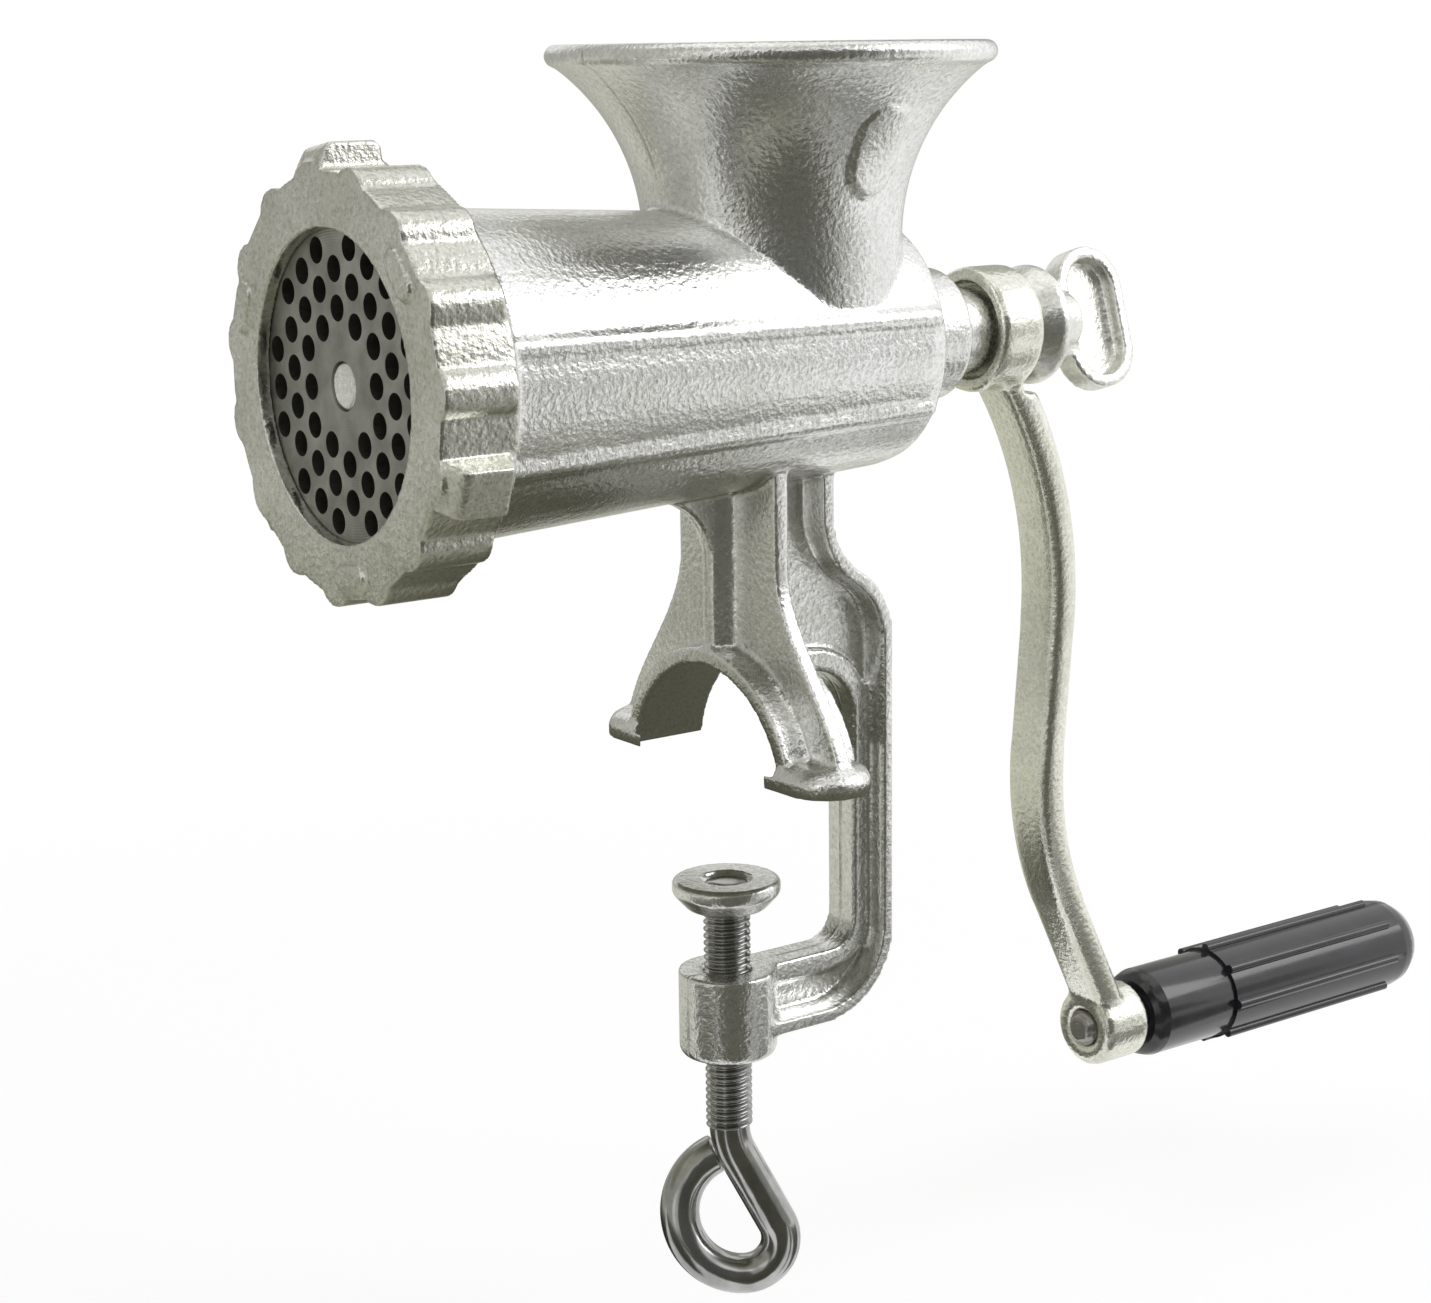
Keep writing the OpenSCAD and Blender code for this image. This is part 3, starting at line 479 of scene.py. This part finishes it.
BARREL_Z, CRANK_REACH = 82, 160.4
barrel_axis = Vector((0, 0, BARREL_Z)) * MM
grip_axis = Vector((0, 0, BARREL_Z - CRANK_REACH)) * MM
screw_axis = Vector((0, 0, 0))
plate_steel = cut_steel("ground_plate_steel", (0.4, 0.395, 0.37), (0.28, 0.28, 0.26), smooth=0.3,
                        rough=0.45, centre=barrel_axis, axis="X", pitch=0.5 * MM, strength=0.15)
knife_steel = cut_steel("knife_steel", (0.62, 0.62, 0.61), (0.5, 0.5, 0.49), smooth=0.22,
                        rough=0.34, centre=barrel_axis, axis="X", pitch=0.7 * MM, strength=0.1)
rod_steel = cut_steel("screw_steel", (0.5, 0.5, 0.49), (0.35, 0.35, 0.34), smooth=0.13,
                      rough=0.22, centre=screw_axis, axis="Z", pitch=2 * MM, strength=0.05)
rivet_steel = cut_steel("rivet_steel", (0.48, 0.47, 0.45), (0.34, 0.33, 0.31), smooth=0.24,
                        rough=0.4, centre=grip_axis, axis="X", pitch=0.9 * MM, strength=0.1)
print("steel finishes:", [m.name for m in (plate_steel, knife_steel, rod_steel, rivet_steel)])

# %% [markdown]
# ## Plastics and fibre
# The grip is black moulded plastic with a polish, the bush behind the barrel is white plastic, and the
# washer next to it is pressed brown fibre. All three are cloudy at a small scale and finely grained. The
# polish could be a lower roughness, but a clear coat over a duller plastic gives the double gleam of a
# moulding.

# %% Plastics and fibre
COAT_ROUGHNESS, COAT_IOR, FINER, SKIN_DEPTH = 0.1, 1.6, 9, 0.2 * MM


def moulded(name, first, second, rough_low, rough_high, grain, scale, shine=0.0):
    """A cloudy material with a fine grain, and a clear coat where it shines."""
    made, tree, sockets, coord = start_finish(name, 0.0)
    feed(tree, sockets["Coat Weight"], shine)
    feed(tree, sockets["Coat Roughness"], COAT_ROUGHNESS)
    feed(tree, sockets["Coat IOR"], COAT_IOR)
    cloud = noise(tree, coord, scale, detail=4)
    fine = noise(tree, coord, scale * FINER, detail=3)
    feed(tree, sockets["Base Color"], two_colours(tree, cloud, first, second))
    feed(tree, sockets["Roughness"], spread(tree, cloud, rough_low, rough_high))
    feed(tree, sockets["Normal"], bumped(tree, fine, grain, SKIN_DEPTH))
    return made


black_plastic = moulded("black_grip_plastic", (0.014, 0.014, 0.018), (0.026, 0.026, 0.032),
                        rough_low=0.16, rough_high=0.26, grain=0.08, scale=140, shine=0.45)
white_plastic = moulded("white_bush_plastic", (0.76, 0.75, 0.7), (0.86, 0.85, 0.8),
                        rough_low=0.42, rough_high=0.55, grain=0.1, scale=120)
brown_fibre = moulded("pressed_fibre", (0.2, 0.12, 0.07), (0.34, 0.22, 0.13),
                      rough_low=0.7, rough_high=0.85, grain=0.4, scale=220)
print("other finishes:", [m.name for m in (black_plastic, white_plastic, brown_fibre)])

# %% [markdown]
# ## Working on a copy
# A solid from the frame is never changed. It is loose triangles, so a copy is welded first, then shaped by
# modifiers, and the result is baked to a plain mesh. The piece gets its finish, stands for its solid, and
# rides on the solid's body, so that it moves with it.

# %% Mesh helpers
WELD_SOLID = 0.002 * MM


def link_piece(mesh, name):
    """A new object for a mesh. It stays at the origin, and its place is in its mesh."""
    made = bpy.data.objects.new(name, mesh)
    scene.collection.objects.link(made)
    return made


def baked(piece):
    """Turns a piece's modifiers into plain mesh and leaves none on it."""
    graph = bpy.context.evaluated_depsgraph_get()
    mesh = bpy.data.meshes.new_from_object(piece.evaluated_get(graph))
    piece.modifiers.clear()
    piece.data = mesh
    return piece


def welded_copy(node, name):
    """A copy of a solid's mesh, with its loose triangles joined."""
    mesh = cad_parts[node].data.copy()
    work = bmesh.new()
    work.from_mesh(mesh)
    bmesh.ops.remove_doubles(work, verts=work.verts, dist=WELD_SOLID)
    work.to_mesh(mesh)
    work.free()
    return link_piece(mesh, name)


def one_finish(mesh, material):
    """Gives all faces of a mesh the same finish."""
    mesh.materials.clear()
    mesh.materials.append(material)
    mesh.polygons.foreach_set("material_index", [0] * len(mesh.polygons))


def dress(piece, node, body, material):
    """Puts one finish on a piece, and the piece in the place of its solid."""
    one_finish(piece.data, material)
    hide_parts(node)
    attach(piece, body)


print("mesh helpers ready")

# %% [markdown]
# ## Castings with soft corners
# A sand mould has no sharp corners: every edge is a small round, and every inner corner a fillet. A Bevel
# modifier could round the edges, but it trips where many forms run into each other. So a copy of the solid is
# remeshed in even little cells and relaxed a few times, which rounds both kinds of corner at once. Relaxing
# pulls edges in, so a casting stays inside its solid's box. The crank is the smoothest and is relaxed most.

# %% The castings
RELAX = 0.5


def softened(node, name, body, material, cell, rounds, triangles):
    """Remeshes a solid in cells of this many millimetres, relaxes it, and thins it to so many triangles."""
    piece = welded_copy(node, name)
    remesh = piece.modifiers.new("cells", "REMESH")
    remesh.mode = "VOXEL"
    remesh.voxel_size = cell * MM
    relax = piece.modifiers.new("relax", "SMOOTH")
    relax.factor = RELAX
    relax.iterations = rounds
    baked(piece)
    count = sum(len(p.vertices) - 2 for p in piece.data.polygons)
    if count > triangles:
        thin = piece.modifiers.new("thin", "DECIMATE")
        thin.ratio = triangles / count
        baked(piece)
    piece.data.shade_smooth()
    dress(piece, node, body, material)
    print(name, "triangles:", min(count, triangles))


softened("body_casting", "soft_casting", "frame", tin_body,
         cell=0.6, rounds=4, triangles=190000)
softened("ring_nut", "soft_ring_nut", "ring", tin_ring,
         cell=0.5, rounds=3, triangles=150000)
softened("crank_arm", "soft_crank", "crank", tin_crank,
         cell=0.6, rounds=20, triangles=90000)
softened("thumb_screw", "soft_thumb_screw", "thumb", tin_thumb,
         cell=0.45, rounds=6, triangles=60000)
softened("clamp_pad", "soft_clamp_pad", "pad", tin_small,
         cell=0.4, rounds=3, triangles=40000)

# %% [markdown]
# ## Shapes that follow a rule
# The clamp screw is a steel rod with a thread, bent into an eye below. Its solid is a plain rod, because a
# joint does the thread's work there. The real forms could be modelled by hand, but both follow rules that
# Geometry Nodes can hold: the thread is a wave that climbs, and the eye is a circle swept along a path. Each
# tree has named inputs for its sizes, and ends in Realize Instances and Set Material. Running it leaves a
# plain mesh.

# %% Tree helpers
def new_tree(name, inputs):
    """A node tree with these inputs, each with its label, kind and first value, and one mesh as output."""
    tree = bpy.data.node_groups.new(name, "GeometryNodeTree")
    for label, kind, first in inputs:
        socket = tree.interface.new_socket(label, in_out="INPUT", socket_type="NodeSocket" + kind)
        if first is not None:
            socket.default_value = first
    tree.interface.new_socket("Geometry", in_out="OUTPUT", socket_type="NodeSocketGeometry")
    return tree, tree.nodes.new("NodeGroupInput").outputs


def close_tree(tree, given, geometry):
    """Ends a tree: real faces, the given material, and out."""
    real = add_node(tree, "GeometryNodeRealizeInstances", {0: geometry})
    paint = add_node(tree, "GeometryNodeSetMaterial", {
        "Geometry": real.outputs[0], "Material": given["Material"]})
    add_node(tree, "NodeGroupOutput", {0: paint.outputs[0]})


def grown(tree, name, start=None, **values):
    """Runs a tree on a start mesh, or on an empty one, and keeps the result as a plain mesh."""
    piece = link_piece(start or bpy.data.meshes.new(name), name)
    modifier = piece.modifiers.new("rule", "NODES")
    modifier.node_group = tree
    names = {s.name: s.identifier for s in tree.interface.items_tree if s.in_out == "INPUT"}
    for label, value in values.items():
        modifier[names[label]] = value
    return baked(piece)


WELD_SHELL = 0.001 * MM


def closed_shell(piece, crisp_from):
    """Closes open ends, turns all faces outwards, and keeps edges crisp from this many degrees on."""
    work = bmesh.new()
    work.from_mesh(piece.data)
    bmesh.ops.remove_doubles(work, verts=work.verts, dist=WELD_SHELL)
    edges = [e for e in work.edges if e.is_boundary]
    if edges:
        bmesh.ops.holes_fill(work, edges=edges, sides=0)
    bmesh.ops.recalc_face_normals(work, faces=work.faces)
    work.to_mesh(piece.data)
    work.free()
    piece.data.shade_smooth()
    piece.data.set_sharp_from_angle(angle=math.radians(crisp_from))


print("tree helpers ready")

# %% [markdown]
# ## The thread
# On a thread the radius rises and falls once per pitch, and the rise climbs one pitch per turn. A profile
# could be wound up with a Screw modifier, but then the ends stay open spirals. Here a flat grid, one unit
# wide and high, is wrapped round the axis by that rule, so the wall is closed and each end is a ring that
# can be filled. Crests and roots are cut flat by a clamp, as on a rolled thread.

# %% The thread as a node tree
FLANK_SLOPE, FLANK_START = 3, 0.25
thread_tree, given = new_tree("cut_thread", [
    ("Length", "Float", 0.03), ("Radius", "Float", 0.005), ("Depth", "Float", 0.0008),
    ("Pitch", "Float", 0.0015), ("Sides", "Int", 48), ("Rows", "Int", 200), ("Material", "Material", None)])


def step(operation, *values):
    """One step of arithmetic in the thread's tree."""
    return math_step(thread_tree, operation, *values)


grid = add_node(thread_tree, "GeometryNodeMeshGrid", {
    "Vertices X": step("ADD", given["Sides"], 1), "Vertices Y": given["Rows"], "Size X": 1, "Size Y": 1})
place = add_node(thread_tree, "GeometryNodeInputPosition")
flat = add_node(thread_tree, "ShaderNodeSeparateXYZ", {0: place.outputs[0]}).outputs
turn = step("ADD", flat["X"], 0.5)
height = step("MULTIPLY", step("ADD", flat["Y"], 0.5), given["Length"])
phase = step("FRACT", step("SUBTRACT", step("DIVIDE", height, given["Pitch"]), turn))
from_crest = step("ABSOLUTE", step("SUBTRACT", phase, 0.5))
flank = add_node(thread_tree, "ShaderNodeClamp", {
    0: step("SUBTRACT", step("MULTIPLY", from_crest, FLANK_SLOPE), FLANK_START)})
reach = step("SUBTRACT", given["Radius"], step("MULTIPLY", flank.outputs[0], given["Depth"]))
angle = step("MULTIPLY", turn, 2 * math.pi)
wrapped = add_node(thread_tree, "ShaderNodeCombineXYZ", {
    0: step("MULTIPLY", reach, step("COSINE", angle)), 1: step("MULTIPLY", reach, step("SINE", angle)),
    2: height})
wall_mesh = add_node(thread_tree, "GeometryNodeSetPosition", {
    "Geometry": grid.outputs["Mesh"], "Position": wrapped.outputs[0]})
weld = add_node(thread_tree, "GeometryNodeMergeByDistance", {
    "Geometry": wall_mesh.outputs[0], "Distance": WELD_SHELL})
close_tree(thread_tree, given, weld.outputs[0])
print("nodes in the thread's tree:", len(thread_tree.nodes))

# %% The thread of the clamp screw
SCREW_R, THREAD_END, PAD_LOW, PAD_TOP = 4.8, -76.5, -30.0, -24.0
THREAD_DEPTH, THREAD_PITCH = 0.75, 1.5
thread = grown(thread_tree, "clamp_thread", Length=(PAD_LOW - THREAD_END) * MM, Radius=SCREW_R * MM,
               Depth=THREAD_DEPTH * MM, Pitch=THREAD_PITCH * MM, Sides=56, Rows=420, Material=rod_steel)
thread.data.transform(Matrix.Translation((0, 0, THREAD_END * MM)))
closed_shell(thread, crisp_from=60)
print("thread faces:", len(thread.data.polygons))

# %% [markdown]
# ## The eye
# Below its thread the rod leaves the axis in a wide bend, runs round the eye, and tucks its cut end in beside
# itself. A ring stuck on a rod would be quicker, but the real eye is one bent rod, and that shows. So its
# middle line is worked out from arcs, and a node tree sweeps a circle along it. A Bevel then breaks the edge
# of the cut end.

# %% The path of the eye
EYE_R, LOOP_R, BEND_R, ROD_R = 8.0, 13.0, 15.0, 4.12
LEAN, TUCK, TURNED = 27.9, 16.5, -36
EYE_X, EYE_Z, INTO_THREAD = 2.4, THREAD_END - 25.4, 2


def arc(x, z, r, start, end, steps):
    """Points on an arc in the plane of the eye, from one angle to another in degrees."""
    turns = [math.radians(start + (end - start) * i / steps) for i in range(steps + 1)]
    return [(x + r * math.cos(t), 0, z + r * math.sin(t)) for t in turns]


path = [(0, 0, THREAD_END + INTO_THREAD)]
path += arc(BEND_R, THREAD_END, BEND_R, start=180, end=180 + LEAN, steps=12)
path += arc(EYE_X, EYE_Z, EYE_R, start=LEAN, end=-86, steps=32)
# The last arc leans back out of the plane, so that the cut end lies beside the rod and not in it.
back, rise = math.sin(math.radians(TUCK)), math.cos(math.radians(TUCK))
tucked = arc(EYE_X, LOOP_R, LOOP_R, start=267, end=112.5, steps=40)
path += [(x, back * h, EYE_Z - EYE_R + rise * h) for x, _, h in tucked]
line = bpy.data.meshes.new("eye_path")
line.from_pydata([tuple(v * MM for v in point) for point in path],
                 [(i, i + 1) for i in range(len(path) - 1)], [])
print("length of the bent rod in mm:", round(sum(math.dist(a, b) for a, b in zip(path, path[1:])), 1))

# %% A rod along a path as a node tree
rod_tree, given = new_tree("bent_rod", [
    ("Geometry", "Geometry", None), ("Radius", "Float", 0.004), ("Sides", "Int", 24),
    ("Material", "Material", None)])
middle_line = add_node(rod_tree, "GeometryNodeMeshToCurve", {"Mesh": given["Geometry"]})
circle = add_node(rod_tree, "GeometryNodeCurvePrimitiveCircle", {
    "Resolution": given["Sides"], "Radius": given["Radius"]})
sweep = add_node(rod_tree, "GeometryNodeCurveToMesh", {
    "Curve": middle_line.outputs["Curve"], "Profile Curve": circle.outputs["Curve"], "Fill Caps": True})
close_tree(rod_tree, given, sweep.outputs["Mesh"])
print("nodes in the rod's tree:", len(rod_tree.nodes))

# %% The eye of the clamp screw
CUT_EDGE, CUT_STEPS, CUT_ANGLE = 0.8 * MM, 3, 60
eye = grown(rod_tree, "clamp_eye", start=line, Radius=ROD_R * MM, Sides=28, Material=rod_steel)
bevel = eye.modifiers.new("cut_edge", "BEVEL")
bevel.width = CUT_EDGE
bevel.segments = CUT_STEPS
bevel.limit_method = "ANGLE"
bevel.angle_limit = math.radians(CUT_ANGLE)
baked(eye)
eye.data.transform(Matrix.Rotation(math.radians(TURNED), 4, "Z"))
closed_shell(eye, crisp_from=50)
print("eye faces:", len(eye.data.polygons))

# %% [markdown]
# ## The peened tip
# The top of the screw is turned down to a tip, which is peened over inside the swivel pad, so that the pad
# can't fall off. It is a turned piece, so it is made as on a lathe: a list of radii and heights is carried
# round the axis. A Screw modifier could do the same, but a short loop shows how rings become faces.

# %% The peened tip
LATHE_STEPS = 64


def lathe(name, profile):
    """Turns a list of radii and heights, in millimetres, round the axis of the clamp screw."""
    work = bmesh.new()
    turns = [2 * math.pi * i / LATHE_STEPS for i in range(LATHE_STEPS)]
    rings = [[work.verts.new((r * MM * math.cos(t), r * MM * math.sin(t), z * MM)) for t in turns]
             for r, z in profile]
    for low, high in zip(rings, rings[1:]):
        for i in range(LATHE_STEPS):
            j = (i + 1) % LATHE_STEPS
            work.faces.new((low[i], low[j], high[j], high[i]))
    work.faces.new(list(reversed(rings[0])))
    work.faces.new(rings[-1])
    mesh = bpy.data.meshes.new(name)
    work.to_mesh(mesh)
    work.free()
    return link_piece(mesh, name)


tip = lathe("clamp_tip", [
    (4.0, PAD_LOW - 1), (4.0, PAD_LOW - 0.02), (3.0, PAD_LOW), (3.0, PAD_TOP - 2), (4.2, PAD_TOP - 1.1),
    (4.3, PAD_TOP - 0.95), (3.9, PAD_TOP - 0.8), (1.0, PAD_TOP - 0.75)])
tip.data.materials.append(rod_steel)
closed_shell(tip, crisp_from=40)
print("tip faces:", len(tip.data.polygons))

# %% The screw as one
for piece in (thread, eye, tip):
    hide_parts("clamp_screw")
    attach(piece, "screw")
print("thread, eye and tip ride on the screw")

# %% [markdown]
# ## Machined and moulded pieces
# The plate, the worm, the bush, the rivet and the grip are turned or moulded, and their edges are crisp. They
# could be remeshed like the castings, but that would blur the holes and the ridges. So their shapes stay as
# they are, and only the shading changes: faces that meet at a small angle are shaded as one round face, and
# large faces lead at the edges, so that flat faces stay flat.

# %% Machined and moulded pieces
CRISP_FROM = 20


def rounded_shading(node, name, body, material):
    """The same shape as the solid, shaded round where it is round."""
    piece = welded_copy(node, name)
    piece.data.shade_smooth()
    piece.data.set_sharp_from_angle(angle=math.radians(CRISP_FROM))
    weigh = piece.modifiers.new("large_faces_lead", "WEIGHTED_NORMAL")
    weigh.keep_sharp = True
    baked(piece)
    dress(piece, node, body, material)
    print(name, "faces:", len(piece.data.polygons))


rounded_shading("grinder_plate", "hole_plate", "plate", plate_steel)
rounded_shading("auger", "worm_screw", "worm", tin_small)
rounded_shading("knife_stud", "plate_stud", "worm", tin_small)
rounded_shading("rear_bush", "neck_bush", "frame", white_plastic)
rounded_shading("grip_pin", "grip_rivet", "crank", rivet_steel)
rounded_shading("grip_core", "grip_liner", "grip", black_plastic)
rounded_shading("grip_sleeve", "ridged_sleeve", "grip", black_plastic)

# %% [markdown]
# ## Small pieces that keep their solids
# The knife, the key pin of the plate and two washers have flat faces and hardly show from outside. Copies
# would add nothing, so the solids themselves stay and only get a finish.

# %% Small pieces
SMALL_PIECES = (("knife", knife_steel), ("plate_key_pin", knife_steel), ("thrust_washer", brown_fibre),
                ("grip_washer", knife_steel))
for node, material in SMALL_PIECES:
    one_finish(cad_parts[node].data, material)
print("small pieces:", [node for node, _ in SMALL_PIECES])
